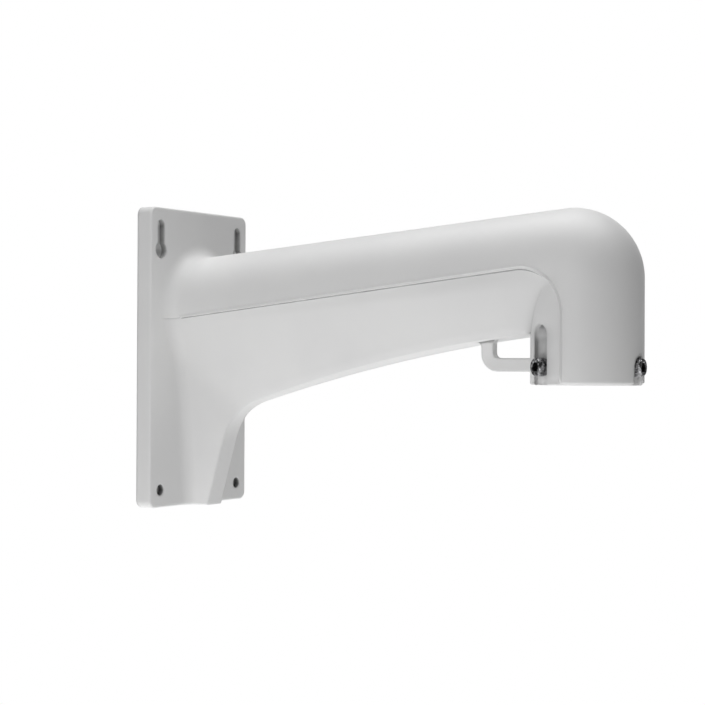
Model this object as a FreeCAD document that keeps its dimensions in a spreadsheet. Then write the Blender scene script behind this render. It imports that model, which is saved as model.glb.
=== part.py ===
import FreeCAD
import Part
import Sketcher
import math
import os

# A wall bracket for a camera: one hollow casting, screwed flat to a wall by its plate, whose arm
# rises to an elbow and ends in a round threaded outlet, and the three cap screws that lock a
# camera's pipe in that outlet. Millimetres. The origin is the middle of the plate's back face,
# +X points away from the wall, +Y to the side and +Z up.

SIZES = {
    # wall plate
    "plate_width": 97.0,
    "plate_height": 182.6,
    "plate_depth": 10.6,
    "plate_corner": 5.0,
    "plate_edge": 1.2,
    "plate_skin": 4.6,
    "plate_rim": 4.5,
    # holes of the plate
    "hole_across": 77.4,
    "hole_rise": 80.6,
    "hole_radius": 3.4,
    "keyhole_drop": 15.2,
    "keyhole_radius": 5.3,
    "boss_wall": 3.6,
    # arm, elbow and outlet
    "tube_radius": 31.2,
    "tube_wall": 4.2,
    "arm_height": 30.5,
    "arm_angle": 4.6,
    "elbow_radius": 7.6,
    "outlet_reach": 274.5,
    "outlet_drop": 14.2,
    "socket_radius": 23.9,
    "socket_length": 26.0,
    "socket_edge": 1.0,
    "rim_edge": 1.6,
    # edge line where the upper half stands proud of the lower half
    "line_step": 0.9,
    "line_height": 23.6,
    "line_angle": 5.94,
    "line_bend": 24.5,
    "line_setback": 1.0,
    # flat sides that lead from the arm down to its arched underside, and the foot
    "side_lean": 23.2,
    "side_end_half": 2.0,
    "arch_reach": 58.0,
    "arch_height": -26.2,
    "arch_end_height": 13.6,
    "arch_bend": 1000.0,
    "arch_spare": 1.0,
    "foot_lean": 16.3,
    "foot_bend": 36.0,
    "foot_half": 7.0,
    "foot_flare": 20.5,
    "foot_spare": 6.0,
    "foot_blend": 30.0,
    "root_fillet": 8.0,
    "root_margin": 2.0,
    # safety loop under the arm
    "loop_depth": 5.0,
    "loop_start": 211.5,
    "loop_rise": 7.0,
    "loop_corner": 10.0,
    "loop_post": 7.3,
    "loop_bar": 7.5,
    "loop_inner_corner": 3.0,
    "loop_bite": 0.3,
    # cap screws and the flat pockets they sit in
    "screw_rise": 9.7,
    "screw_radius": 3.0,
    "screw_gap": 0.05,
    "screw_tip_gap": 0.6,
    "head_radius": 5.0,
    "head_height": 6.0,
    "head_edge": 0.5,
    "hex_flats": 5.0,
    "hex_depth": 3.0,
    "pocket_half": 6.0,
    "pocket_floor": 27.4,
    "pocket_rise": 17.0,
    "screw_spread": 120.0,
}

document = FreeCAD.newDocument("wall_bracket")
sheet = document.addObject("Spreadsheet::Sheet", "Sizes")
for row, (alias, size) in enumerate(SIZES.items(), start=1):
    sheet.set(f"A{row}", alias)
    sheet.set(f"B{row}", str(size))
    sheet.setAlias(f"B{row}", alias)
document.recompute()


def of(text):
    """Spell out a formula's size names as cells of the sheet."""
    words = []
    word = ""
    for letter in text + " ":
        if letter.isalpha() or letter == "_":
            word += letter
            continue
        words.append(f"Sizes.{word}" if word in SIZES else word)
        words.append(letter)
        word = ""
    return "".join(words).strip()


def value(formula):
    """The number that a formula of size names gives."""
    return float(sheet.evalExpression(of(formula)))


# Places that several features share, as formulas of the sizes above.
PIVOT_REACH = "(outlet_reach - elbow_radius)"
AXIS_AT_PIVOT = f"(arm_height + tan(arm_angle) * ({PIVOT_REACH} - plate_depth))"
PIVOT_HEIGHT = f"({AXIS_AT_PIVOT} - elbow_radius / cos(arm_angle))"
CORE_RADIUS = "(tube_radius - line_step)"
BORE_RADIUS = "(tube_radius - line_step - tube_wall)"
FOOT_LEVEL = "(0 - plate_height / 2)"

# The arch under the arm is one long arc, from where the foot's bend ends to the outlet's back.
ARCH_END = f"(outlet_reach - {CORE_RADIUS})"
ARCH_RUN = f"({ARCH_END} - arch_reach)"
ARCH_CLIMB = "(arch_end_height - arch_height)"
ARCH_CHORD = f"sqrt({ARCH_RUN} ^ 2 + {ARCH_CLIMB} ^ 2)"
ARCH_SLOPE = f"(atan({ARCH_CLIMB} / {ARCH_RUN}) + asin({ARCH_CHORD} / 2 / arch_bend))"
ARCH_CENTRE_REACH = f"(arch_reach + arch_bend * sin({ARCH_SLOPE}))"
ARCH_CENTRE_HEIGHT = f"(arch_height - arch_bend * cos({ARCH_SLOPE}))"

# The foot's leaning front meets that arch in an arc that touches both.
BEND_CENTRE_REACH = f"(arch_reach + foot_bend * sin({ARCH_SLOPE}))"
BEND_CENTRE_HEIGHT = f"(arch_height - foot_bend * cos({ARCH_SLOPE}))"
LEAN_TOUCH_REACH = f"({BEND_CENTRE_REACH} - foot_bend * cos(foot_lean))"
LEAN_TOUCH_HEIGHT = f"({BEND_CENTRE_HEIGHT} + foot_bend * sin(foot_lean))"
FOOT_REACH = f"({LEAN_TOUCH_REACH} - ({LEAN_TOUCH_HEIGHT} - {FOOT_LEVEL}) * tan(foot_lean))"


def axis_height(reach):
    """Height of the arm's axis at a distance from the wall."""
    return f"(arm_height + tan(arm_angle) * ({reach} - plate_depth))"


def arch_at(reach):
    """Height of the arched underside at a distance from the wall."""
    return f"({ARCH_CENTRE_HEIGHT} + sqrt(arch_bend ^ 2 - ({reach} - {ARCH_CENTRE_REACH}) ^ 2))"


def new_sketch(body, name, role, tilt=None, swing=None, **base):
    """A sketch on one of the body's own origin planes, moved and turned by formulas.

    Tilt turns it about its own x axis and swing about its own y axis.
    """
    sketch = body.newObject("Sketcher::SketchObject", name)
    support = next(item for item in body.Origin.OriginFeatures if item.Role == role)
    sketch.AttachmentSupport = (support, [""])
    sketch.MapMode = "FlatFace"
    for angle, hinge in ((tilt, FreeCAD.Vector(1, 0, 0)), (swing, FreeCAD.Vector(0, 1, 0))):
        if angle:
            turn = FreeCAD.Rotation(hinge, 1)
            sketch.AttachmentOffset = FreeCAD.Placement(FreeCAD.Vector(), turn)
            sketch.setExpression("AttachmentOffset.Rotation.Angle", of(angle))
    for axis, formula in base.items():
        sketch.setExpression(f"AttachmentOffset.Base.{axis}", of(formula))
    return sketch


def bind(sketch, constraint, name, formula):
    """Add a sized constraint and tie it to its formula."""
    index = sketch.addConstraint(constraint)
    sketch.renameConstraint(index, name)
    sketch.setExpression(f"Constraints.{name}", of(formula))


def pin(sketch, shape, point, name, x, y):
    """Hold a point of the sketch at a place given by two formulas."""
    across = Sketcher.Constraint("DistanceX", -1, 1, shape, point, value(x))
    bind(sketch, across, f"{name}_x", x)
    up = Sketcher.Constraint("DistanceY", -1, 1, shape, point, value(y))
    bind(sketch, up, f"{name}_y", y)


def circle(sketch, x, y, radius):
    """A full circle."""
    centre = FreeCAD.Vector(value(x), value(y), 0)
    ring = Part.Circle(centre, FreeCAD.Vector(0, 0, 1), value(radius))
    shape = sketch.addGeometry(ring, False)
    pin(sketch, shape, 3, f"centre{shape}", x, y)
    bind(sketch, Sketcher.Constraint("Radius", shape, value(radius)), f"radius{shape}", radius)


def outline(sketch, corners):
    """A closed loop through corners (x, y) of formulas.

    A corner with two more items, a radius and a turn, bends the side that leaves it into an
    arc: turn 1 keeps the arc's centre on the left of the way round, and turn -1 on its right.
    """
    spots = [FreeCAD.Vector(value(corner[0]), value(corner[1]), 0) for corner in corners]
    sides = []
    for number, corner in enumerate(corners):
        start = spots[number]
        end = spots[(number + 1) % len(spots)]
        if len(corner) == 2:
            shape = sketch.addGeometry(Part.LineSegment(start, end), False)
            sides.append((shape, 1, 2))
            continue
        radius = value(corner[2])
        turn = corner[3]
        chord = end - start
        left = FreeCAD.Vector(-chord.y, chord.x, 0).normalize()
        reach = math.sqrt(max(radius**2 - chord.Length**2 / 4, 0))
        crown = (start + end) * 0.5 - left * turn * (radius - reach)
        shape = sketch.addGeometry(Part.Arc(start, crown, end), False)
        sides.append((shape, 1, 2) if turn > 0 else (shape, 2, 1))
    for number, corner in enumerate(corners):
        shape, start, end = sides[number]
        following, meets, _ = sides[(number + 1) % len(sides)]
        sketch.addConstraint(Sketcher.Constraint("Coincident", shape, end, following, meets))
        pin(sketch, shape, start, f"corner{shape}", corner[0], corner[1])
        if len(corner) > 2:
            radius = Sketcher.Constraint("Radius", shape, value(corner[2]))
            bind(sketch, radius, f"bend{shape}", corner[2])


def feature(body, kind, name, sketch, **settings):
    """Add a feature on a sketch: numbers and links are set, and formulas are bound."""
    made = body.newObject(f"PartDesign::{kind}", name)
    made.Profile = sketch
    for key, setting in settings.items():
        if isinstance(setting, str) and key in ("Length", "Angle"):
            made.setExpression(key, of(setting))
        else:
            setattr(made, key, setting)
    document.recompute()
    return made


def elbow(body, name, radius):
    """The outer side of the elbow: half a tube, turned about the elbow's pivot."""
    sketch = new_sketch(body, f"{name}ElbowSketch", "XY_Plane", x=PIVOT_REACH, z=PIVOT_HEIGHT)
    half_tube(sketch, radius)
    feature(body, "Revolution", f"{name}Elbow", sketch, ReferenceAxis=(sketch, ["V_Axis"]),
            Angle="90 + arm_angle", Reversed=True)


def half_tube(sketch, radius):
    """Half a tube's section beyond its axis, with straight sides back to the elbow's pivot."""
    outline(sketch, [
        ("0", f"0 - {radius}"),
        ("elbow_radius", f"0 - {radius}", radius, 1),
        (f"elbow_radius + {radius}", "0", radius, 1),
        ("elbow_radius", radius),
        ("0", radius),
    ])


def arm(body, name, radius, start):
    """The arm from its start to the elbow: round, with flat sides that lean in below."""
    side = f"({radius} * cos(side_lean))"
    touch = f"(elbow_radius - {radius} * sin(side_lean))"
    low = f"(elbow_radius - ({radius} / cos(side_lean) - side_end_half) / tan(side_lean))"
    sketch = new_sketch(
        body, f"{name}ArmSketch", "YZ_Plane", tilt="0 - arm_angle", z=PIVOT_REACH, y=PIVOT_HEIGHT
    )
    outline(sketch, [
        (f"0 - {side}", touch),
        ("0 - side_end_half", low),
        ("side_end_half", low),
        (side, touch, radius, 1),
        ("0", f"elbow_radius + {radius}", radius, 1),
    ])
    run = f"({PIVOT_REACH} - {start}) / cos(arm_angle)"
    feature(body, "Pad", f"{name}Arm", sketch, Length=run, Reversed=True)


def foot(body, name, wall, ahead):
    """The foot: a straight wedge along its leaning front, its sides flaring toward the wall."""
    lead = f"(foot_half - {wall} / cos(foot_flare) - {ahead} * tan(foot_flare))"
    trail = f"(foot_half - {wall} / cos(foot_flare) + 2 * tube_radius * tan(foot_flare))"
    sketch = new_sketch(
        body, f"{name}FootSketch", "XY_Plane", swing="foot_lean",
        x=f"{FOOT_REACH} - tube_radius * tan(foot_lean)", z=f"{FOOT_LEVEL} - tube_radius"
    )
    outline(sketch, [
        (ahead, f"0 - {lead}"),
        (ahead, lead),
        ("0 - 2 * tube_radius", trail),
        ("0 - 2 * tube_radius", f"0 - {trail}"),
    ])
    rise = f"(arm_height + tube_radius - {FOOT_LEVEL}) / cos(foot_lean)"
    feature(body, "Pad", f"{name}Foot", sketch, Length=rise)


def underside(body, name, wall, back):
    """Trim the arm and foot to the arch, the foot's front and its level, and to their back."""
    level = f"({FOOT_LEVEL} + {wall})"
    touch = f"({LEAN_TOUCH_REACH} - {wall} * cos(foot_lean))"
    touch_height = f"({LEAN_TOUCH_HEIGHT} + {wall} * sin(foot_lean))"
    end_height = (
        f"({ARCH_CENTRE_HEIGHT} + sqrt((arch_bend + {wall}) ^ 2"
        f" - (outlet_reach - {ARCH_CENTRE_REACH}) ^ 2))"
    )
    sketch = new_sketch(body, f"{name}UndersideSketch", "XZ_Plane")
    outline(sketch, [
        (back, level),
        (f"{touch} - ({touch_height} - {level}) * tan(foot_lean)", level),
        (touch, touch_height, f"foot_bend + {wall}", -1),
        (f"arch_reach - {wall} * sin({ARCH_SLOPE})", f"arch_height + {wall} * cos({ARCH_SLOPE})",
         f"arch_bend + {wall}", -1),
        ("outlet_reach", end_height),
        ("outlet_reach", f"{FOOT_LEVEL} - 2 * tube_radius"),
        ("0 - 3 * tube_radius", f"{FOOT_LEVEL} - 2 * tube_radius"),
        ("0 - 3 * tube_radius", "arm_height + 2 * tube_radius"),
        (back, "arm_height + 2 * tube_radius"),
    ])
    feature(body, "Pocket", f"{name}Underside", sketch, Type="ThroughAll", Midplane=True)


def edges(shape, test):
    """Names of a shape's edges whose inner points all pass a test."""
    names = []
    for number, edge in enumerate(shape.Edges, start=1):
        if edge.Degenerated:
            continue
        if all(test(point) for point in edge.discretize(Number=9)[1:-1]):
            names.append(f"Edge{number}")
    return names


def rounding(body, kind, name, base, names, size):
    """A fillet or a chamfer of one size on the named edges."""
    made = body.newObject(f"PartDesign::{kind}", name)
    made.Base = (base, names)
    made.setExpression("Radius" if kind == "Fillet" else "Size", of(size))
    document.recompute()
    return made


def at_arm(point):
    """Whether a point of the plate's face is above the edge line and on the arm's outline."""
    return math.hypot(point.y, point.z - value("arm_height")) < value("tube_radius") + 1


# The outer half: the upper part of the arm, the elbow and the outlet's front, down to the edge
# line, with a flange inside the plate's depth from which a fillet leads into the arm.
cap = document.addObject("PartDesign::Body", "outer_half")
flange = new_sketch(cap, "FlangeSketch", "YZ_Plane", z="plate_depth / 2")
circle(flange, "0", "arm_height", "tube_radius + root_fillet + root_margin")
feature(cap, "Pad", "Flange", flange, Length="plate_depth / 2")
arm(cap, "Outer", "tube_radius", "(plate_depth / 2)")
depth = value("plate_depth")
united = cap.Tip
names = edges(united.Shape, lambda point: abs(point.x - depth) < 0.01 and at_arm(point))
rounding(cap, "Fillet", "OuterRoot", united, names, "root_fillet")
elbow(cap, "Outer", "tube_radius")
sketch = new_sketch(cap, "OuterOutletSketch", "XY_Plane", z="0 - outlet_drop")
circle(sketch, "outlet_reach", "0", "tube_radius")
feature(cap, "Pad", "OuterOutlet", sketch, Length=f"{PIVOT_HEIGHT} + outlet_drop")

# Everything inside the edge line is taken away from the cap again.
LINE_REACH = "(outlet_reach - line_setback)"
BEND_REACH = f"({LINE_REACH} - line_bend)"
LINE_TOUCH = f"({BEND_REACH} - line_bend * sin(line_angle))"
LINE_TOUCH_HEIGHT = f"(line_height + tan(line_angle) * ({LINE_TOUCH} - plate_depth))"
BEND_HEIGHT = f"({LINE_TOUCH_HEIGHT} - line_bend * cos(line_angle))"
sketch = new_sketch(cap, "EdgeLineSketch", "XZ_Plane")
outline(sketch, [
    ("0", "line_height - tan(line_angle) * plate_depth"),
    (LINE_TOUCH, LINE_TOUCH_HEIGHT, "line_bend", -1),
    (LINE_REACH, BEND_HEIGHT),
    (LINE_REACH, FOOT_LEVEL),
    ("0", FOOT_LEVEL),
])
feature(cap, "Pocket", "EdgeLine", sketch, Type="ThroughAll", Midplane=True)

# The wall plate.
plate = document.addObject("PartDesign::Body", "wall_plate")
sketch = new_sketch(plate, "PlateSketch", "YZ_Plane")
SIDE = "(plate_width / 2)"
TOP = "(plate_height / 2)"
SIDE_IN = f"({SIDE} - plate_corner)"
TOP_IN = f"({TOP} - plate_corner)"
outline(sketch, [
    (f"0 - {SIDE_IN}", f"0 - {TOP}"),
    (SIDE_IN, f"0 - {TOP}", "plate_corner", 1),
    (SIDE, f"0 - {TOP_IN}"),
    (SIDE, TOP_IN, "plate_corner", 1),
    (SIDE_IN, TOP),
    (f"0 - {SIDE_IN}", TOP, "plate_corner", 1),
    (f"0 - {SIDE}", TOP_IN),
    (f"0 - {SIDE}", f"0 - {TOP_IN}", "plate_corner", 1),
])
feature(plate, "Pad", "Slab", sketch, Length="plate_depth")

# The casting starts with the arm and the foot, blended where their flat sides meet.
casting = document.addObject("PartDesign::Body", "bracket_casting")
arm(casting, "Core", CORE_RADIUS, "(0 - tube_radius)")
foot(casting, "Core", "0", "foot_spare")
underside(casting, "Core", "0", "plate_depth / 2")


def on_arm_side(point):
    """Whether a point lies on one of the arm's flat sides."""
    below = value(axis_height(f"({point.x})")) - point.z
    lean = below * value("cos(arm_angle) * tan(side_lean)")
    return abs(abs(point.y) + lean - value(f"{CORE_RADIUS} / cos(side_lean)")) < 0.01


def on_foot_side(point):
    """Whether a point lies on one of the foot's flat sides."""
    front = value(FOOT_REACH) + (point.z - value(FOOT_LEVEL)) * value("tan(foot_lean)")
    flare = (front - point.x) * value("cos(foot_lean) * tan(foot_flare)")
    return abs(abs(point.y) - flare - value("foot_half")) < 0.01


united = casting.Tip
names = edges(united.Shape, lambda point: on_arm_side(point) and on_foot_side(point))
rounding(casting, "Fillet", "FootBlend", united, names, "foot_blend")

# The back of the outlet and the inner side of the elbow.
sketch = new_sketch(casting, "OutletSketch", "XY_Plane", z="0 - outlet_drop")
circle(sketch, "outlet_reach", "0", CORE_RADIUS)
feature(casting, "Pad", "Outlet", sketch, Length=f"{PIVOT_HEIGHT} + outlet_drop")
elbow(casting, "Core", CORE_RADIUS)

# The plate joins the casting, and a wide fillet leads the arm and foot into it.
joined = casting.newObject("PartDesign::Boolean", "Plate")
joined.Type = "Fuse"
joined.addObject(plate)
document.recompute()


def at_root(point):
    """Whether a point lies on the plate's face, as near the middle as the arm and foot do."""
    inside = min(value("tube_radius") - abs(point.y), value(TOP) - abs(point.z))
    return abs(point.x - depth) < 0.01 and inside > 0.01


def at_edge(point):
    """Whether a point lies on the plate's front edge, clear of the foot."""
    past_side = abs(point.y) - value(SIDE_IN)
    past_top = abs(point.z) - value(TOP_IN)
    return abs(point.x - depth) < 0.01 and max(past_side, past_top) > 0.01


united = casting.Tip
names = edges(united.Shape, at_root)
rounding(casting, "Fillet", "RootFillet", united, names, "root_fillet")
united = casting.Tip
names = edges(united.Shape, at_edge)
rounding(casting, "Fillet", "PlateEdge", united, names, "plate_edge")

# The outer half joins the casting.
joined = casting.newObject("PartDesign::Boolean", "OuterHalf")
joined.Type = "Fuse"
joined.addObject(cap)
document.recompute()

# The safety loop: a flat frame from under the arm to the outlet's back.
LOOP_LOW = "(loop_rise - outlet_drop)"
LOOP_END = f"({ARCH_END} + arch_spare)"
LEAD = "(loop_start - loop_inner_corner)"
WINDOW_LEFT = "(loop_start + loop_post)"
WINDOW_LOW = f"({LOOP_LOW} + loop_bar)"
sketch = new_sketch(casting, "LoopSketch", "XZ_Plane")
outline(sketch, [
    (LEAD, f"{arch_at(LEAD)} + loop_bite", "loop_inner_corner", -1),
    ("loop_start", f"{arch_at(LEAD)} + loop_bite - loop_inner_corner"),
    ("loop_start", f"{LOOP_LOW} + loop_corner", "loop_corner", 1),
    ("loop_start + loop_corner", LOOP_LOW),
    (LOOP_END, LOOP_LOW),
    (LOOP_END, f"{arch_at(LOOP_END)} + loop_bite"),
])
LEFT_TOP = f"({arch_at(f'({WINDOW_LEFT} + loop_inner_corner)')} + loop_bite)"
RIGHT_TOP = f"({arch_at(f'({ARCH_END} - loop_inner_corner)')} + loop_bite)"
outline(sketch, [
    (WINDOW_LEFT, f"{WINDOW_LOW} + loop_inner_corner", "loop_inner_corner", 1),
    (f"{WINDOW_LEFT} + loop_inner_corner", WINDOW_LOW),
    (ARCH_END, WINDOW_LOW),
    (ARCH_END, f"{RIGHT_TOP} - loop_inner_corner", "loop_inner_corner", 1),
    (f"{ARCH_END} - loop_inner_corner", RIGHT_TOP),
    (f"{WINDOW_LEFT} + loop_inner_corner", LEFT_TOP, "loop_inner_corner", 1),
    (WINDOW_LEFT, f"{LEFT_TOP} - loop_inner_corner"),
])
feature(casting, "Pad", "Loop", sketch, Length="loop_depth", Midplane=True)

# The hollow inside, open at the plate's back and at the rim, and the socket for the thread.
hollow = document.addObject("PartDesign::Body", "hollow")
arm(hollow, "Hollow", BORE_RADIUS, "(0 - tube_radius)")
foot(hollow, "Hollow", "tube_wall", "0")
underside(hollow, "Hollow", "tube_wall", "(0 - tube_wall)")
sketch = new_sketch(hollow, "HollowOutletSketch", "XY_Plane", z="socket_length - outlet_drop")
circle(sketch, "outlet_reach", "0", BORE_RADIUS)
drop = f"{PIVOT_HEIGHT} + outlet_drop - socket_length"
feature(hollow, "Pad", "HollowOutlet", sketch, Length=drop)
elbow(hollow, "Hollow", BORE_RADIUS)
cut = casting.newObject("PartDesign::Boolean", "Hollow")
cut.Type = "Cut"
cut.addObject(hollow)
document.recompute()

sketch = new_sketch(casting, "SocketSketch", "XZ_Plane", x="outlet_reach", y="0 - outlet_drop")
outline(sketch, [
    ("0", "0"),
    ("socket_radius + socket_edge", "0"),
    ("socket_radius", "socket_edge"),
    ("socket_radius", "socket_length"),
    ("0", "socket_length"),
])
feature(casting, "Groove", "Socket", sketch, ReferenceAxis=(sketch, ["V_Axis"]))
sketch = new_sketch(casting, "RimSketch", "XZ_Plane", x="outlet_reach", y="0 - outlet_drop")
outline(sketch, [
    ("tube_radius - rim_edge", "0"),
    ("tube_radius", "rim_edge"),
    ("tube_radius + rim_edge", "rim_edge"),
    ("tube_radius + rim_edge", "0"),
])
feature(casting, "Groove", "RimEdge", sketch, ReferenceAxis=(sketch, ["V_Axis"]))

# The plate's back is recessed within a rim, and its holes run through bosses.
sketch = new_sketch(casting, "RecessSketch", "YZ_Plane")
RIM_SIDE = f"({SIDE} - plate_rim)"
RIM_TOP = f"({TOP} - plate_rim)"
outline(sketch, [
    (f"0 - {RIM_SIDE}", f"0 - {RIM_TOP}"),
    (RIM_SIDE, f"0 - {RIM_TOP}"),
    (RIM_SIDE, RIM_TOP),
    (f"0 - {RIM_SIDE}", RIM_TOP),
])
feature(casting, "Pocket", "Recess", sketch, Length="plate_depth - plate_skin", Reversed=True)

HOLE_OUT = "(hole_across / 2)"
ENTRY = "(hole_rise - keyhole_drop)"


def slot(sketch, side, radius):
    """An upright round-ended outline from a keyhole's entry to its seat."""
    left = f"({side} - {radius})"
    right = f"({side} + {radius})"
    outline(sketch, [
        (left, ENTRY, radius, 1),
        (side, f"{ENTRY} - {radius}", radius, 1),
        (right, ENTRY),
        (right, "hole_rise", radius, 1),
        (side, f"hole_rise + {radius}", radius, 1),
        (left, "hole_rise"),
    ])


bosses = new_sketch(casting, "BossSketch", "YZ_Plane")
for side in (f"(0 - {HOLE_OUT})", HOLE_OUT):
    circle(bosses, side, "0 - hole_rise", "(hole_radius + boss_wall)")
    slot(bosses, side, "(hole_radius + boss_wall)")
feature(casting, "Pad", "Bosses", bosses, Length="plate_depth - plate_skin / 2")
slots = new_sketch(casting, "SlotSketch", "YZ_Plane")
entries = new_sketch(casting, "EntrySketch", "YZ_Plane")
for side in (f"(0 - {HOLE_OUT})", HOLE_OUT):
    circle(slots, side, "0 - hole_rise", "hole_radius")
    slot(slots, side, "hole_radius")
    circle(entries, side, ENTRY, "keyhole_radius")
feature(casting, "Pocket", "Slots", slots, Type="ThroughAll", Midplane=True)
feature(casting, "Pocket", "Entries", entries, Type="ThroughAll", Midplane=True)

# Flat pockets round the outlet for the three cap screws. The front one ends round just above
# its screw, and the two behind run up the outlet as grooves.
SCREW_HEIGHT = "(screw_rise - outlet_drop)"
for name, swing, rise in (
    ("Front", "0", "0"),
    ("Near", "(0 - screw_spread)", "pocket_rise"),
    ("Far", "screw_spread", "pocket_rise"),
):
    sketch = new_sketch(
        casting, f"{name}PocketSketch", "XZ_Plane", swing=f"90 + {swing}", y=SCREW_HEIGHT,
        x=f"outlet_reach + pocket_floor * cos({swing})", z=f"0 - pocket_floor * sin({swing})"
    )
    outline(sketch, [
        ("0 - pocket_half", "0 - 2 * screw_rise"),
        ("pocket_half", "0 - 2 * screw_rise"),
        ("pocket_half", rise, "pocket_half", 1),
        ("0", f"{rise} + pocket_half", "pocket_half", 1),
        ("0 - pocket_half", rise),
    ])
    feature(casting, "Pocket", f"{name}Pocket", sketch, Length="tube_radius", Reversed=True)
    hole = new_sketch(
        casting, f"{name}HoleSketch", "XZ_Plane", swing=f"90 + {swing}", y=SCREW_HEIGHT,
        x=f"outlet_reach + pocket_floor * cos({swing})", z=f"0 - pocket_floor * sin({swing})"
    )
    circle(hole, "0", "0", "(screw_radius + screw_gap)")
    feature(casting, "Pocket", f"{name}Hole", hole, Length="pocket_floor - socket_radius / 2")

# The cap screws: one turned and socketed, and repeated round the outlet.
screws = document.addObject("PartDesign::Body", "lock_screws")
screws.AllowCompound = True
sketch = new_sketch(screws, "ScrewSketch", "XZ_Plane", x="outlet_reach", y=SCREW_HEIGHT)
HEAD_END = "(pocket_floor + head_height)"
outline(sketch, [
    ("socket_radius + screw_tip_gap", "0"),
    (HEAD_END, "0"),
    (HEAD_END, "head_radius - head_edge"),
    (f"{HEAD_END} - head_edge", "head_radius"),
    ("pocket_floor", "head_radius"),
    ("pocket_floor", "screw_radius"),
    ("socket_radius + screw_tip_gap", "screw_radius"),
])
turned = feature(screws, "Revolution", "Screw", sketch, ReferenceAxis=(sketch, ["H_Axis"]))
sketch = new_sketch(screws, "HexSketch", "YZ_Plane", y=SCREW_HEIGHT, z=f"outlet_reach + {HEAD_END}")
CORNER = "(hex_flats / sqrt(3))"
outline(sketch, [(f"{CORNER} * cos({60 * n})", f"{CORNER} * sin({60 * n})") for n in range(6)])
socket = feature(screws, "Pocket", "Hex", sketch, Length="hex_depth")
centre = new_sketch(screws, "CentreSketch", "XY_Plane", x="outlet_reach")
circle(centre, "0", "0", "tube_radius")
ring = screws.newObject("PartDesign::PolarPattern", "ScrewRing")
ring.Originals = [turned, socket]
ring.Axis = (centre, ["N_Axis"])
ring.Angle = 360
ring.Occurrences = 3
screws.Tip = ring
document.recompute()

for item in document.Objects:
    if "Invalid" in item.State or "Error" in item.State:
        raise RuntimeError(f"{item.Name} failed: {item.getStatusString()}")
SUBPARTS = ((casting, 1), (screws, 3))
for body, solids in SUBPARTS:
    if body.Shape.isNull() or not body.Shape.isValid() or len(body.Shape.Solids) != solids:
        raise RuntimeError(f"{body.Label} is not a valid shape of {solids} solids")
os.makedirs("parts", exist_ok=True)
for body, _ in SUBPARTS:
    body.Shape.exportStep(f"parts/{body.Label}.step")
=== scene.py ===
import math

import bmesh
import bpy
from mathutils import Matrix, Vector


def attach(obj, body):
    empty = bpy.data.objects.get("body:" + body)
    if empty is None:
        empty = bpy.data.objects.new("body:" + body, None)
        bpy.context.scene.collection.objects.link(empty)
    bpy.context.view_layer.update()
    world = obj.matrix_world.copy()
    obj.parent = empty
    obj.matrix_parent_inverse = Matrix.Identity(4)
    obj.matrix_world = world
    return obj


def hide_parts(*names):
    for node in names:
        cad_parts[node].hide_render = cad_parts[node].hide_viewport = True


# A white cast wall bracket in a plain studio. Metres, in the part's own frame: the wall is
# behind the plate at x = 0, +X points along the arm and +Z up.

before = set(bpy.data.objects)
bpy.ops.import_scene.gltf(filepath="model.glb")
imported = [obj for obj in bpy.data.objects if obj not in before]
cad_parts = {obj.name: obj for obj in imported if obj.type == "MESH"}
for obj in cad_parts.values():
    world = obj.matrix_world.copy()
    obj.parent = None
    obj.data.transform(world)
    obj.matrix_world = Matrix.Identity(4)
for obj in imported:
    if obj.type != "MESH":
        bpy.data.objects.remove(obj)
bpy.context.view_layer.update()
MM = 0.001

# Places on the casting that the dressed pieces go by, as in the part.
PLATE_WIDTH = 97.0 * MM
PLATE_HEIGHT = 182.6 * MM
PLATE_DEPTH = 10.6 * MM
PLATE_RIM = 4.5 * MM
RECESS_DEPTH = PLATE_DEPTH - 4.6 * MM
TUBE_RADIUS = 31.2 * MM
ARM_ANGLE = math.radians(4.6)
ARM_HEIGHT = 30.5 * MM
PIVOT_REACH = 266.9 * MM
PIVOT_HEIGHT = 43.5 * MM
LOOP_START = 211.5 * MM
OUTLET_REACH = 274.5 * MM
OUTLET_BOTTOM = -14.2 * MM
SOCKET_RADIUS = 23.9 * MM
SOCKET_LENGTH = 26.0 * MM
THREAD_CREST = 22.42 * MM
THREAD_PITCH = 25.4 / 11 * MM
SCREW_HEIGHT = OUTLET_BOTTOM + 9.7 * MM
SCREW_TURNS = (0, 120, 240)
SCREW_SEAT = 27.4 * MM
SCREW_TIP = 24.5 * MM
HEAD_RADIUS = 5.0 * MM
HEAD_HEIGHT = 6.0 * MM
SHANK_RADIUS = 3.0 * MM
HEX_RADIUS = 2.5 * MM / math.cos(math.radians(30))
HEX_DEPTH = 3.0 * MM


# Materials.

def new_material(name):
    """A material with an empty node tree, its output node and a Principled shader."""
    material = bpy.data.materials.new(name)
    material.use_nodes = True
    nodes = material.node_tree.nodes
    nodes.clear()
    output = nodes.new("ShaderNodeOutputMaterial")
    shader = nodes.new("ShaderNodeBsdfPrincipled")
    material.node_tree.links.new(shader.outputs[0], output.inputs["Surface"])
    return material, nodes, material.node_tree.links, shader, output


def set_inputs(node, **values):
    """Set a node's inputs by name, with _ for each space."""
    for name, setting in values.items():
        node.inputs[name.replace("_", " ")].default_value = setting


def shaded_point(nodes):
    """The shaded point in the part's frame, which is each piece's own space."""
    return nodes.new("ShaderNodeTexCoord").outputs["Object"]


def object_noise(nodes, links, scale, detail):
    """A noise pattern over the object's own space."""
    noise = nodes.new("ShaderNodeTexNoise")
    set_inputs(noise, Scale=scale, Detail=detail)
    links.new(shaded_point(nodes), noise.inputs["Vector"])
    return noise.outputs["Fac"]


def bump(nodes, links, height, strength, distance, under=None):
    """A normal that follows a height, on top of another normal or the surface's own."""
    node = nodes.new("ShaderNodeBump")
    set_inputs(node, Strength=strength, Distance=distance)
    links.new(height, node.inputs["Height"])
    if under is not None:
        links.new(under, node.inputs["Normal"])
    return node.outputs["Normal"]


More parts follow.
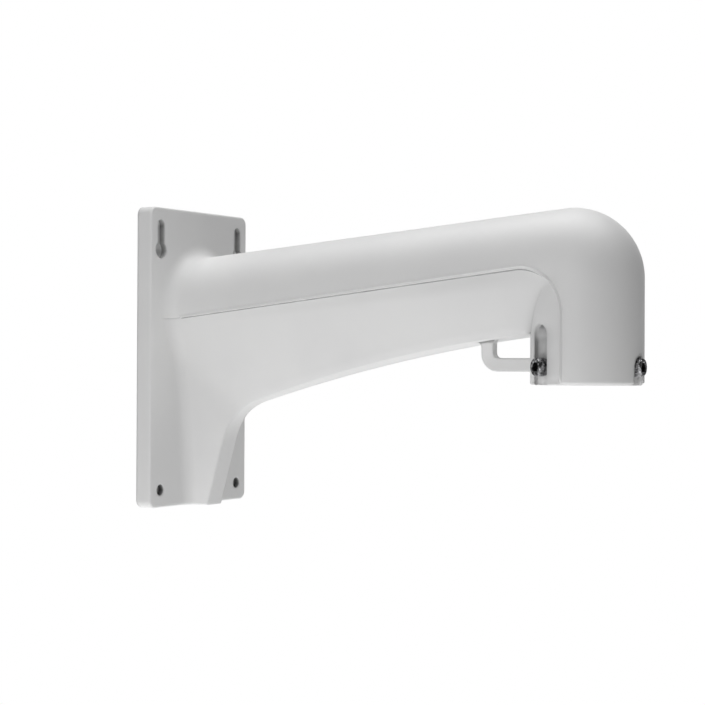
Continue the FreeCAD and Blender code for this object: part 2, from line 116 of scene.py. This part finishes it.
def colour_between(nodes, links, factor, low, high):
    mix = nodes.new("ShaderNodeMix")
    mix.data_type = "RGBA"
    mix.inputs["A"].default_value = (*low, 1)
    mix.inputs["B"].default_value = (*high, 1)
    links.new(factor, mix.inputs["Factor"])
    return mix.outputs["Result"]


def ramp(nodes, links, value, start, end, low=0.0, high=1.0):
    """Run from low to high while a value runs from start to end."""
    node = nodes.new("ShaderNodeMapRange")
    set_inputs(node, From_Min=start, From_Max=end, To_Min=low, To_Max=high)
    links.new(value, node.inputs["Value"])
    return node.outputs["Result"]


def falling(nodes, links, value, start, end):
    """1 before start, 0 after end."""
    return ramp(nodes, links, value, start, end, 1.0, 0.0)


def spread(nodes, links, noise, low, high):
    """Stretch a noise's middle band to a range."""
    return ramp(nodes, links, noise, 0.35, 0.65, low, high)


def combine(nodes, links, operation, first, second):
    node = nodes.new("ShaderNodeMath")
    node.operation = operation
    links.new(first, node.inputs[0])
    links.new(second, node.inputs[1])
    return node.outputs[0]


def flattened_length(nodes, links, vector, across):
    """A vector's length, counted only along the axes that are 1 in across."""
    flat = nodes.new("ShaderNodeVectorMath")
    flat.operation = "MULTIPLY"
    flat.inputs[1].default_value = across
    links.new(vector, flat.inputs[0])
    length = nodes.new("ShaderNodeVectorMath")
    length.operation = "LENGTH"
    links.new(flat.outputs[0], length.inputs[0])
    return length.outputs["Value"]


def axis_distance(nodes, links, point, across):
    """How far the shaded point is from the axis through a point, measured across it."""
    away = nodes.new("ShaderNodeVectorMath")
    away.operation = "SUBTRACT"
    away.inputs[1].default_value = point
    links.new(shaded_point(nodes), away.inputs[0])
    return flattened_length(nodes, links, away.outputs[0], across)


def soft_normal(nodes, radius):
    """The surface's normal with edges rounded to a radius."""
    node = nodes.new("ShaderNodeBevel")
    node.samples = 8
    node.inputs["Radius"].default_value = radius
    return node.outputs[0]


def painted_shade_inside(nodes, links, tint, crevice, but_where):
    """Painted shade: darken a colour inside crevices and holes, but not where a mask is 1."""
    reach, closed, opened, darkest = crevice
    openness = nodes.new("ShaderNodeAmbientOcclusion")
    openness.samples = 8
    openness.only_local = True
    openness.inputs["Distance"].default_value = reach
    depth = ramp(nodes, links, openness.outputs["AO"], closed, opened, darkest, 1.0)
    depth = combine(nodes, links, "MAXIMUM", depth, but_where)
    shade = nodes.new("ShaderNodeVectorMath")
    shade.operation = "SCALE"
    links.new(tint, shade.inputs[0])
    links.new(depth, shade.inputs["Scale"])
    return shade.outputs[0]


# How the painted shade darkens the coat: the crevice's width, the openness at which it is darkest
# and at which it stops, and what is left of the colour at the darkest.
CREASE_PAINTED_SHADE = (2.0 * MM, 0.45, 0.92, 0.45)
HOLE_PAINTED_SHADE = (14.0 * MM, 0.25, 0.72, 0.10)
POCKET_PAINTED_SHADE = (6.0 * MM, 0.30, 1.60, 0.50)

# Where the masks that keep the painted shade off start and end. First the distance from the elbow's
# pivot and from the outlet's axis, then heights over and under the screws, then depths in the
# plate.
ELBOW_END = (9 * MM, 12 * MM)
POCKET_END = (29.6 * MM, 30.1 * MM)
OVER_SCREW = (SCREW_HEIGHT + 8 * MM, SCREW_HEIGHT + 17 * MM)
UNDER_SCREW = (SCREW_HEIGHT - 5 * MM, SCREW_HEIGHT - 3 * MM)
HOLE_FRONT = (PLATE_DEPTH - 0.8 * MM, PLATE_DEPTH - 0.3 * MM)
HOLE_BACK = (RECESS_DEPTH + 0.2 * MM, RECESS_DEPTH + 0.6 * MM)

# Depths under the arm's axis line, which the masks count from its height over the wall.
ARM_SLOPE = math.tan(ARM_ANGLE)
AXIS_START = ARM_HEIGHT - ARM_SLOPE * PLATE_DEPTH
LOWER_EDGE = (12 * MM - AXIS_START, 22 * MM - AXIS_START)
LOOP_TOP = (38 * MM - AXIS_START, 39 * MM - AXIS_START)

# Places along the arm.
FOOT_END = (60 * MM, 80 * MM)
LOOP_LEFT = (LOOP_START - 6 * MM, LOOP_START - 3 * MM)
JOINT_START = (OUTLET_REACH - 42 * MM, OUTLET_REACH - 34 * MM)
LOOP_RIGHT = (OUTLET_REACH - 32.5 * MM, OUTLET_REACH - 31 * MM)
JOINT_END = (OUTLET_REACH, OUTLET_REACH + 6 * MM)


def coat_with_painted_shade(nodes, links, tint, axes):
    """The coat's colour with painted shade in creases, in the plate's holes and in the screws'
    pockets.
    """
    from_pivot = axis_distance(nodes, links, (PIVOT_REACH, 0, PIVOT_HEIGHT), (1, 0, 1))
    at_elbow = falling(nodes, links, from_pivot, *ELBOW_END)
    from_outlet = axis_distance(nodes, links, (OUTLET_REACH, 0, 0), (1, 1, 0))
    in_pockets = falling(nodes, links, from_outlet, *POCKET_END)
    plain = combine(nodes, links, "MAXIMUM", at_elbow, in_pockets)
    tint = painted_shade_inside(nodes, links, tint, CREASE_PAINTED_SHADE, plain)

    before = ramp(nodes, links, axes["X"], *HOLE_FRONT)
    behind = falling(nodes, links, axes["X"], *HOLE_BACK)
    off_holes = combine(nodes, links, "MAXIMUM", before, behind)
    tint = painted_shade_inside(nodes, links, tint, HOLE_PAINTED_SHADE, off_holes)

    off_pockets = ramp(nodes, links, from_outlet, *POCKET_END)
    over_screw = ramp(nodes, links, axes["Z"], *OVER_SCREW)
    under_screw = falling(nodes, links, axes["Z"], *UNDER_SCREW)
    off_pockets = combine(nodes, links, "MAXIMUM", off_pockets, over_screw)
    off_pockets = combine(nodes, links, "MAXIMUM", off_pockets, under_screw)
    return painted_shade_inside(nodes, links, tint, POCKET_PAINTED_SHADE, off_pockets)


def widely_blended(nodes, links, axes):
    """1 along the arm's lower edges and where it runs into the outlet, where the cast is softer."""
    rise = nodes.new("ShaderNodeMath")
    rise.operation = "MULTIPLY"
    rise.inputs[1].default_value = ARM_SLOPE
    links.new(axes["X"], rise.inputs[0])
    fall = combine(nodes, links, "SUBTRACT", rise.outputs[0], axes["Z"])
    low = ramp(nodes, links, fall, *LOWER_EDGE)
    joint = ramp(nodes, links, axes["X"], *JOINT_START)
    past_foot = ramp(nodes, links, axes["X"], *FOOT_END)
    before_front = falling(nodes, links, axes["X"], *JOINT_END)
    between = combine(nodes, links, "MULTIPLY", past_foot, before_front)
    share = combine(nodes, links, "MAXIMUM", low, joint)
    share = combine(nodes, links, "MULTIPLY", share, between)

    # The loop under the arm keeps its flat sides.
    left = falling(nodes, links, axes["X"], *LOOP_LEFT)
    right = ramp(nodes, links, axes["X"], *LOOP_RIGHT)
    above = falling(nodes, links, fall, *LOOP_TOP)
    beside = combine(nodes, links, "MAXIMUM", left, right)
    off_loop = combine(nodes, links, "MAXIMUM", above, beside)
    return combine(nodes, links, "MULTIPLY", share, off_loop)


def white_powder_coat(name, softness, wide_softness=None):
    """Satin white powder coat: faint orange peel on a cast skin, uneven gloss, painted shade in
    crevices.
    """
    material, nodes, links, shader, _ = new_material(name)
    place = nodes.new("ShaderNodeSeparateXYZ")
    links.new(shaded_point(nodes), place.inputs[0])
    axes = place.outputs

    cloud = spread(nodes, links, object_noise(nodes, links, scale=18.0, detail=3.0), 0.0, 1.0)
    tint = colour_between(nodes, links, cloud, (0.735, 0.735, 0.735), (0.765, 0.765, 0.762))
    links.new(coat_with_painted_shade(nodes, links, tint, axes), shader.inputs["Base Color"])
    gloss = spread(nodes, links, object_noise(nodes, links, scale=260.0, detail=2.0), 0.42, 0.52)
    links.new(gloss, shader.inputs["Roughness"])
    set_inputs(shader, Specular_IOR_Level=0.42)

    soft = soft_normal(nodes, softness)
    if wide_softness is not None:
        mix = nodes.new("ShaderNodeMix")
        mix.data_type = "VECTOR"
        # Of this node's sockets, inputs 4 and 5 and output 1 are the vectors.
        links.new(widely_blended(nodes, links, axes), mix.inputs["Factor"])
        links.new(soft, mix.inputs[4])
        links.new(soft_normal(nodes, wide_softness), mix.inputs[5])
        soft = mix.outputs[1]
    skin = object_noise(nodes, links, scale=140.0, detail=2.0)
    cast = bump(nodes, links, skin, strength=0.10, distance=0.25 * MM, under=soft)
    peel = object_noise(nodes, links, scale=1500.0, detail=1.0)
    peel = bump(nodes, links, peel, strength=0.10, distance=0.08 * MM, under=cast)
    links.new(peel, shader.inputs["Normal"])
    return material


def mottled(name, cloud, dark, light, haze, smooth, rough, metallic=0.0):
    """A finish whose colour and roughness vary. Cloud and haze are a noise's scale and detail."""
    material, nodes, links, shader, _ = new_material(name)
    share = spread(nodes, links, object_noise(nodes, links, *cloud), 0.0, 1.0)
    links.new(colour_between(nodes, links, share, dark, light), shader.inputs["Base Color"])
    roughness = spread(nodes, links, object_noise(nodes, links, *haze), smooth, rough)
    links.new(roughness, shader.inputs["Roughness"])
    set_inputs(shader, Metallic=metallic)
    return material, nodes, links, shader


def painted_shade_strip():
    """Painted shade: a dull grey strip in the corner under the lip."""
    return mottled(
        "painted_shade_strip",
        cloud=(90.0, 3.0), dark=(0.30, 0.30, 0.30), light=(0.42, 0.42, 0.42),
        haze=(700.0, 2.0), smooth=0.6, rough=0.8)[0]


def black_steel():
    """Black oxide on steel: the screws' sockets, and the solids that the dressed screws replace."""
    material, nodes, links, shader = mottled(
        "black_steel",
        cloud=(900.0, 2.0), dark=(0.010, 0.010, 0.011), light=(0.022, 0.021, 0.021),
        haze=(1400.0, 2.0), smooth=0.24, rough=0.40, metallic=0.35)
    grain = object_noise(nodes, links, scale=2600.0, detail=2.0)
    grain = bump(nodes, links, grain, strength=0.15, distance=0.03 * MM)
    links.new(grain, shader.inputs["Normal"])
    return material


def worn_steel():
    """The screws' outsides: black oxide, rubbed through in spots to bright steel."""
    return mottled(
        "worn_steel",
        cloud=(620.0, 3.0), dark=(0.05, 0.05, 0.052), light=(0.42, 0.42, 0.43),
        haze=(1400.0, 2.0), smooth=0.14, rough=0.30, metallic=1.0)[0]


def bare_thread():
    """The cut thread in the outlet: bare machined aluminium under a thin bloom."""
    return mottled(
        "cut_aluminium",
        cloud=(500.0, 3.0), dark=(0.60, 0.60, 0.61), light=(0.70, 0.70, 0.70),
        haze=(900.0, 2.0), smooth=0.28, rough=0.40, metallic=1.0)[0]


WHITE = white_powder_coat("white_powder_coat", softness=2.2 * MM, wide_softness=11.0 * MM)
WHITE_LIP = white_powder_coat("white_powder_coat_lip", softness=0.2 * MM)
PAINTED_SHADE_STRIP = painted_shade_strip()
BLACK = black_steel()
WORN = worn_steel()
THREAD = bare_thread()

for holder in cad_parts["bracket_casting"].material_slots:
    holder.material = WHITE
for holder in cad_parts["lock_screws"].material_slots:
    holder.material = BLACK


# Pieces.

def add_mesh(name, build, materials):
    """A piece of the object from a function that fills a bmesh."""
    shape = bmesh.new()
    build(shape)
    bmesh.ops.recalc_face_normals(shape, faces=shape.faces)
    mesh = bpy.data.meshes.new(name)
    shape.to_mesh(mesh)
    shape.free()
    for material in materials:
        mesh.materials.append(material)
    piece = bpy.data.objects.new(name, mesh)
    bpy.context.scene.collection.objects.link(piece)
    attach(piece, "root")
    return piece


def join_rings(shape, rings, paint=0):
    """Skin a list of equal closed rings of vertices."""
    for low, high in zip(rings, rings[1:]):
        for i in range(len(low)):
            j = (i + 1) % len(low)
            shape.faces.new((low[i], low[j], high[j], high[i])).material_index = paint


def join_closed(shape, rings):
    """Skin a list of rings and close both ends."""
    join_rings(shape, rings)
    shape.faces.new(rings[0])
    shape.faces.new(rings[-1])


# Cap screws: knurled head, turned edges, hex socket.

SCREW_SIDES = 96
SCREW_ANGLES = [2 * math.pi * i / SCREW_SIDES for i in range(SCREW_SIDES)]
HEAD_TOP = SCREW_SEAT + HEAD_HEIGHT
KNURL_DEPTH = 0.16 * MM
KNURL_SIDES = 3
HEX_BEVEL = 0.25 * MM
HEX_CONE_DEPTH = 0.4 * MM
HEX_CONE_RADIUS = 0.25 * MM
# Along the screw from the tip: distance from the outlet's axis, radius, share of the knurl.
SCREW_PROFILE = (
    (SCREW_TIP, SHANK_RADIUS - 0.5 * MM, 0.0),
    (SCREW_TIP + 0.5 * MM, SHANK_RADIUS, 0.0),
    (SCREW_SEAT, SHANK_RADIUS, 0.0),
    (SCREW_SEAT, HEAD_RADIUS - 0.35 * MM, 0.0),
    (SCREW_SEAT + 0.3 * MM, HEAD_RADIUS - 0.1 * MM, 0.0),
    (SCREW_SEAT + 0.5 * MM, HEAD_RADIUS, 1.0),
    (HEAD_TOP - 1.3 * MM, HEAD_RADIUS, 1.0),
    (HEAD_TOP - 1.1 * MM, HEAD_RADIUS - 0.12 * MM, 0.0),
    (HEAD_TOP - 0.45 * MM, HEAD_RADIUS - 0.2 * MM, 0.0),
    (HEAD_TOP - 0.15 * MM, HEAD_RADIUS - 0.4 * MM, 0.0),
    (HEAD_TOP, HEAD_RADIUS - 0.75 * MM, 0.0),
    (HEAD_TOP, HEX_RADIUS + HEX_BEVEL, 0.0),
)


def hex_reach(angle):
    """How far the hexagon's side is from its middle in one direction."""
    sixth = math.radians(60)
    return HEX_RADIUS * math.cos(sixth / 2) / math.cos((angle % sixth) - sixth / 2)


def knurled(radius, share):
    """Radii round the head: every third one is cut in by the knurl."""
    return [
        radius - (KNURL_DEPTH * share if i % KNURL_SIDES == 0 else 0)
        for i in range(SCREW_SIDES)
    ]


def build_screws(shape):
    middle = Vector((OUTLET_REACH, 0, SCREW_HEIGHT))
    up = Vector((0, 0, 1))
    hexagon = [hex_reach(t) for t in SCREW_ANGLES]
    for turn in SCREW_TURNS:
        out = Vector((math.cos(math.radians(turn)), math.sin(math.radians(turn)), 0))
        side = Vector((-out.y, out.x, 0))

        def ring(reach, radii):
            return [
                shape.verts.new(middle + out * reach + (side * math.cos(t) + up * math.sin(t)) * r)
                for t, r in zip(SCREW_ANGLES, radii)
            ]

        body = [ring(reach, knurled(radius, share)) for reach, radius, share in SCREW_PROFILE]
        join_rings(shape, body)
        shape.faces.new(body[0])
        mouth = ring(HEAD_TOP - HEX_BEVEL, hexagon)
        join_rings(shape, [body[-1], mouth])
        floor = ring(HEAD_TOP - HEX_DEPTH, hexagon)
        centre = ring(HEAD_TOP - HEX_DEPTH - HEX_CONE_DEPTH, [HEX_CONE_RADIUS] * SCREW_SIDES)
        join_rings(shape, [mouth, floor, centre], paint=1)
        shape.faces.new(centre).material_index = 1


screws = add_mesh("cap_screws", build_screws, (WORN, BLACK))
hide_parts("lock_screws")


# The outlet's thread: one ridge that climbs the plain bore and fades in and out at its ends.

THREAD_STEPS = 96
THREAD_LOW = OUTLET_BOTTOM + 2.2 * MM
THREAD_HIGH = OUTLET_BOTTOM + SOCKET_LENGTH - 2.6 * MM
THREAD_FOOT = SOCKET_RADIUS + 0.05 * MM
THREAD_FADE = THREAD_STEPS * 0.4
THREAD_LEAST = 0.02
# Half widths of the ridge, as shares of half the pitch.
THREAD_FOOT_HALF = 0.98
THREAD_CREST_HALF = 0.22


def build_thread(shape):
    count = int((THREAD_HIGH - THREAD_LOW) / THREAD_PITCH * THREAD_STEPS)
    rings = []
    for i in range(count + 1):
        angle = 2 * math.pi * i / THREAD_STEPS
        z = THREAD_LOW + THREAD_PITCH * i / THREAD_STEPS
        fade = min(1.0, i / THREAD_FADE, (count - i) / THREAD_FADE)
        crest = SOCKET_RADIUS - (SOCKET_RADIUS - THREAD_CREST) * max(fade, THREAD_LEAST)
        section = (
            (THREAD_FOOT, -THREAD_FOOT_HALF),
            (crest, -THREAD_CREST_HALF),
            (crest, THREAD_CREST_HALF),
            (THREAD_FOOT, THREAD_FOOT_HALF),
        )
        rings.append([
            shape.verts.new((
                OUTLET_REACH + radius * math.cos(angle),
                radius * math.sin(angle),
                z + share * THREAD_PITCH / 2,
            ))
            for radius, share in section
        ])
    join_closed(shape, rings)


add_mesh("outlet_thread", build_thread, (THREAD,))


# The lip along the edge line: the upper half's skin flares a little before it drops to the lower
# half. The line is straight along the arm, bends with the elbow and drops down the outlet's side.

LINE_HEIGHT = 23.6 * MM
LINE_ANGLE = math.radians(5.94)
LINE_SLOPE = math.tan(LINE_ANGLE)
LINE_BEND = 24.5 * MM
LINE_REACH = OUTLET_REACH - 1.0 * MM
LIP_START = 19.0 * MM
LIP_END = OUTLET_BOTTOM + 1.8 * MM
LIP_STEP = 1.0 * MM
# Across the lip, in mm: distance from the edge towards the proud side, height over the skin. The
# stretch from LIP_CORNER on lies in the corner under the lip, on the lower half's skin; its first
# face is a strip of painted shade.
LIP_PROFILE = (
    (1.45, -0.12), (1.2, 0.04), (0.8, 0.46), (0.5, 0.86), (0.25, 1.04), (-0.05, 1.06),
    (-0.25, 0.88), (-0.3, 0.4), (-0.3, -0.86), (-1.0, -0.87), (-1.0, -1.3), (1.45, -1.3),
)
LIP_CORNER = 8
# The flare at each end: its share at the last point, and the points over which it grows.
LIP_FIRST, LIP_GROWTH = 0.25, 12
LIP_LAST, LIP_DECLINE = 0.1, 4
# The skin's normal is averaged over this many points either way.
LIP_SMOOTHING = 4


def edge_line():
    """Points of the edge line from above the plate to the outlet's rim, as x and z."""
    bend_reach = LINE_REACH - LINE_BEND
    touch = bend_reach - LINE_BEND * math.sin(LINE_ANGLE)
    touch_height = LINE_HEIGHT + LINE_SLOPE * (touch - PLATE_DEPTH)
    bend_height = touch_height - LINE_BEND * math.cos(LINE_ANGLE)
    points = []
    count = int((touch - LIP_START) / LIP_STEP)
    for i in range(count):
        x = LIP_START + (touch - LIP_START) * i / count
        points.append((x, LINE_HEIGHT + LINE_SLOPE * (x - PLATE_DEPTH)))
    turn = math.pi / 2 + LINE_ANGLE
    count = int(LINE_BEND * turn / LIP_STEP)
    for i in range(count):
        angle = turn * (1 - i / count)
        x = bend_reach + LINE_BEND * math.cos(angle)
        points.append((x, bend_height + LINE_BEND * math.sin(angle)))
    count = int((bend_height - LIP_END) / LIP_STEP)
    for i in range(count + 1):
        points.append((LINE_REACH, bend_height + (LIP_END - bend_height) * i / count))
    return points


def skin_at(x, z):
    """The upper half's skin on the +Y side: its y and its outward normal."""
    below = (ARM_HEIGHT + ARM_SLOPE * (x - PLATE_DEPTH) - z) * math.cos(ARM_ANGLE)
    ahead = x - OUTLET_REACH
    arm_y = math.sqrt(max(TUBE_RADIUS ** 2 - below ** 2, 0.0)) if x < PIVOT_REACH else 0.0
    outlet_y = math.sqrt(max(TUBE_RADIUS ** 2 - ahead ** 2, 0.0)) if z < PIVOT_HEIGHT else 0.0
    if arm_y > outlet_y:
        normal = Vector((below * math.sin(ARM_ANGLE), arm_y, -below * math.cos(ARM_ANGLE)))
        return arm_y, normal.normalized()
    return outlet_y, Vector((ahead, outlet_y, 0.0)).normalized()


def build_lip(shape):
    line = edge_line()
    skin = [skin_at(x, z) for x, z in line]
    end = len(line) - 1
    for hand in (-1, 1):
        rings = []
        for i, (x, z) in enumerate(line):
            last, after = max(i - 1, 0), min(i + 1, end)
            near = skin[max(i - LIP_SMOOTHING, 0):i + LIP_SMOOTHING + 1]
            normal = sum((n for _, n in near), Vector()).normalized()
            normal.y *= hand
            run = Vector((
                line[after][0] - line[last][0],
                hand * (skin[after][0] - skin[last][0]),
                line[after][1] - line[last][1],
            )).normalized()
            proud = Vector((-run.z, 0.0, run.x))
            proud = (proud - normal * proud.dot(normal)).normalized()
            grown = LIP_FIRST + i / LIP_GROWTH
            left = LIP_LAST + (end - i) / LIP_DECLINE
            fade = min(1.0, grown, left)
            foot = Vector((x, hand * skin[i][0], z))
            ring = []
            for away, rise in LIP_PROFILE:
                height = rise * MM * (fade if rise > 0 else 1.0)
                ring.append(shape.verts.new(foot + proud * (away * MM) + normal * height))
            rings.append(ring)
        join_closed(shape, rings)
        shape.faces.ensure_lookup_table()
        # The face in the corner under the lip takes the grey of the painted shade.
        for ring, after in zip(rings, rings[1:]):
            a, b = ring[LIP_CORNER:LIP_CORNER + 2]
            c, d = after[LIP_CORNER:LIP_CORNER + 2]
            shape.faces.get((a, b, d, c)).material_index = 1


lip = add_mesh("edge_lip", build_lip, (WHITE_LIP, PAINTED_SHADE_STRIP))
for face in lip.data.polygons:
    face.use_smooth = True


# Webs that close the slivers left between the recess's corners and the four bosses.

WEB_REACH = 2.4 * MM
WEB_WAIST = WEB_REACH * 0.8
WEB_LAP = 0.3 * MM
WEB_BACK = 0.03 * MM
WEB_FRONT = RECESS_DEPTH + 0.5 * MM


def build_webs(shape):
    y = PLATE_WIDTH / 2 - PLATE_RIM + WEB_LAP
    z = PLATE_HEIGHT / 2 - PLATE_RIM + WEB_LAP
    outline = ((y, z), (y - WEB_REACH, z), (y - WEB_WAIST, z - WEB_WAIST), (y, z - WEB_REACH))
    for hand in (-1, 1):
        for end in (-1, 1):
            join_closed(shape, [
                [shape.verts.new((x, hand * a, end * b)) for a, b in outline]
                for x in (WEB_BACK, WEB_FRONT)
            ])


add_mesh("corner_webs", build_webs, (WHITE_LIP,))


# Floor, light and camera.

FLOOR_HALF = 6.0
FLOOR_HEIGHT = -0.36
# The floor fades to white between these distances from the origin.
FLOOR_FADE = (0.16, 0.45)


def flat_sheet(name, corners):
    """An object of one face."""
    mesh = bpy.data.meshes.new(name)
    mesh.from_pydata(corners, [], [(0, 1, 2, 3)])
    sheet = bpy.data.objects.new(name, mesh)
    bpy.context.scene.collection.objects.link(sheet)
    return sheet


def mix_shaders(nodes, links, share, first, second):
    mix = nodes.new("ShaderNodeMixShader")
    links.new(share, mix.inputs[0])
    links.new(first.outputs[0], mix.inputs[1])
    links.new(second.outputs[0], mix.inputs[2])
    return mix


def white_for_camera(nodes, links, shader, where):
    """Show plain white to the camera and to gloss where a mask is 1, else the shader."""
    path = nodes.new("ShaderNodeLightPath").outputs
    seen = combine(nodes, links, "MAXIMUM", path["Is Camera Ray"], path["Is Glossy Ray"])
    share = combine(nodes, links, "MULTIPLY", seen, where)
    white = nodes.new("ShaderNodeEmission")
    white.inputs["Strength"].default_value = 1.0
    return mix_shaders(nodes, links, share, shader, white)


def studio_floor():
    """A pale floor well under the bracket, clear from below, that fades to the background."""
    floor = flat_sheet("floor", [
        (-FLOOR_HALF, -FLOOR_HALF, FLOOR_HEIGHT),
        (FLOOR_HALF, -FLOOR_HALF, FLOOR_HEIGHT),
        (FLOOR_HALF, FLOOR_HALF, FLOOR_HEIGHT),
        (-FLOOR_HALF, FLOOR_HALF, FLOOR_HEIGHT),
    ])
    material, nodes, links, shader, output = new_material("floor")
    set_inputs(shader, Base_Color=(0.86, 0.86, 0.86, 1), Roughness=0.9)
    geometry = nodes.new("ShaderNodeNewGeometry").outputs
    distance = flattened_length(nodes, links, geometry["Position"], (1, 1, 0))
    fade = ramp(nodes, links, distance, *FLOOR_FADE)
    fade.node.interpolation_type = "SMOOTHSTEP"
    lit = white_for_camera(nodes, links, shader, fade)
    clear = nodes.new("ShaderNodeBsdfTransparent")
    sided = mix_shaders(nodes, links, geometry["Backfacing"], lit, clear)
    links.new(sided.outputs[0], output.inputs["Surface"])
    floor.data.materials.append(material)


# The sheet of painted shade: its inset from the plate's edges and its place just behind the plate.
SHADE_INSET = 2 * MM
SHADE_PLACE = -0.5 * MM


def painted_shade_sheet():
    """Painted shade: a dark sheet behind the plate that shows through the plate's holes, seen from
    the front only.
    """
    wide = PLATE_WIDTH / 2 - SHADE_INSET
    tall = PLATE_HEIGHT / 2 - SHADE_INSET
    shade_sheet = flat_sheet("painted_shade_sheet", [
        (SHADE_PLACE, -wide, -tall),
        (SHADE_PLACE, wide, -tall),
        (SHADE_PLACE, wide, tall),
        (SHADE_PLACE, -wide, tall),
    ])
    material, nodes, links, shader, output = new_material("painted_shade_sheet")
    set_inputs(shader, Base_Color=(0.03, 0.03, 0.03, 1), Roughness=0.9)
    path = nodes.new("ShaderNodeLightPath").outputs
    geometry = nodes.new("ShaderNodeNewGeometry").outputs
    seen = combine(nodes, links, "SUBTRACT", path["Is Camera Ray"], geometry["Backfacing"])
    seen.node.use_clamp = True
    clear = nodes.new("ShaderNodeBsdfTransparent")
    mix = mix_shaders(nodes, links, seen, clear, shader)
    links.new(mix.outputs[0], output.inputs["Surface"])
    shade_sheet.data.materials.append(material)


def studio_world(strength):
    """A dim white room that the camera sees as plain white."""
    world = bpy.data.worlds.new("studio")
    world.use_nodes = True
    nodes = world.node_tree.nodes
    links = world.node_tree.links
    nodes.clear()
    output = nodes.new("ShaderNodeOutputWorld")
    room = nodes.new("ShaderNodeBackground")
    set_inputs(room, Color=(1, 1, 1, 1), Strength=strength)
    white = nodes.new("ShaderNodeBackground")
    set_inputs(white, Color=(1, 1, 1, 1), Strength=1.0)
    path = nodes.new("ShaderNodeLightPath").outputs
    mix = mix_shaders(nodes, links, path["Is Camera Ray"], room, white)
    links.new(mix.outputs[0], output.inputs["Surface"])
    bpy.context.scene.world = world


def softbox(name, place, target, width, height, power):
    """A rectangular area light that faces a target."""
    light = bpy.data.lights.new(name, "AREA")
    light.shape = "RECTANGLE"
    light.size = width
    light.size_y = height
    light.energy = power
    lamp = bpy.data.objects.new(name, light)
    lamp.location = place
    lamp.rotation_euler = (Vector(target) - Vector(place)).to_track_quat("-Z", "Y").to_euler()
    bpy.context.scene.collection.objects.link(lamp)


# The photograph's view: turned round Z, tipped up and rolled by these angles, from this place.
CAMERA_PLACE = (0.6566, -0.8356, -0.0026)
CAMERA_TURN = math.radians(122.511)
CAMERA_TILT = math.radians(0.343)
CAMERA_ROLL = math.radians(0.273)
CAMERA_LENS = 85.62
SENSOR_WIDTH = 36.0


def studio_camera():
    ahead = Vector((
        math.cos(CAMERA_TILT) * math.cos(CAMERA_TURN),
        math.cos(CAMERA_TILT) * math.sin(CAMERA_TURN),
        math.sin(CAMERA_TILT),
    ))
    level = ahead.cross(Vector((0, 0, 1))).normalized()
    up = level.cross(ahead)
    right = level * math.cos(CAMERA_ROLL) + up * math.sin(CAMERA_ROLL)
    top = up * math.cos(CAMERA_ROLL) - level * math.sin(CAMERA_ROLL)
    data = bpy.data.cameras.new("camera")
    data.lens = CAMERA_LENS
    data.sensor_width = SENSOR_WIDTH
    camera = bpy.data.objects.new("camera", data)
    turn = Matrix((right, top, -ahead)).transposed().to_4x4()
    camera.matrix_world = Matrix.Translation(CAMERA_PLACE) @ turn
    bpy.context.scene.collection.objects.link(camera)
    bpy.context.scene.camera = camera


MIDDLE = (0.14, 0.0, 0.0)
# Each softbox: name, place, target, width, height, watts.
SOFTBOXES = (
    ("top_softbox", (0.15, 0.05, 1.1), (0.15, 0.0, 0.0), 1.4, 1.0, 12.7),
    ("high_softbox", (0.1, -0.35, 1.5), MIDDLE, 1.4, 1.2, 2.9),
    ("key_softbox", (0.28, -1.6, 0.25), MIDDLE, 1.0, 1.0, 5.2),
    ("low_softbox", (0.15, -0.55, -0.33), (0.15, -0.1, 0.0), 0.9, 0.35, 0.82),
    ("under_softbox", (0.15, -0.12, -0.34), (0.15, -0.12, 0.0), 0.9, 0.6, 1.25),
    ("back_softbox", (0.1, 1.5, 0.5), MIDDLE, 1.2, 1.0, 2.0),
)
ROOM_STRENGTH = 0.09

studio_floor()
painted_shade_sheet()
studio_world(ROOM_STRENGTH)
for box in SOFTBOXES:
    softbox(*box)
studio_camera()

bpy.context.scene.view_settings.view_transform = "Standard"
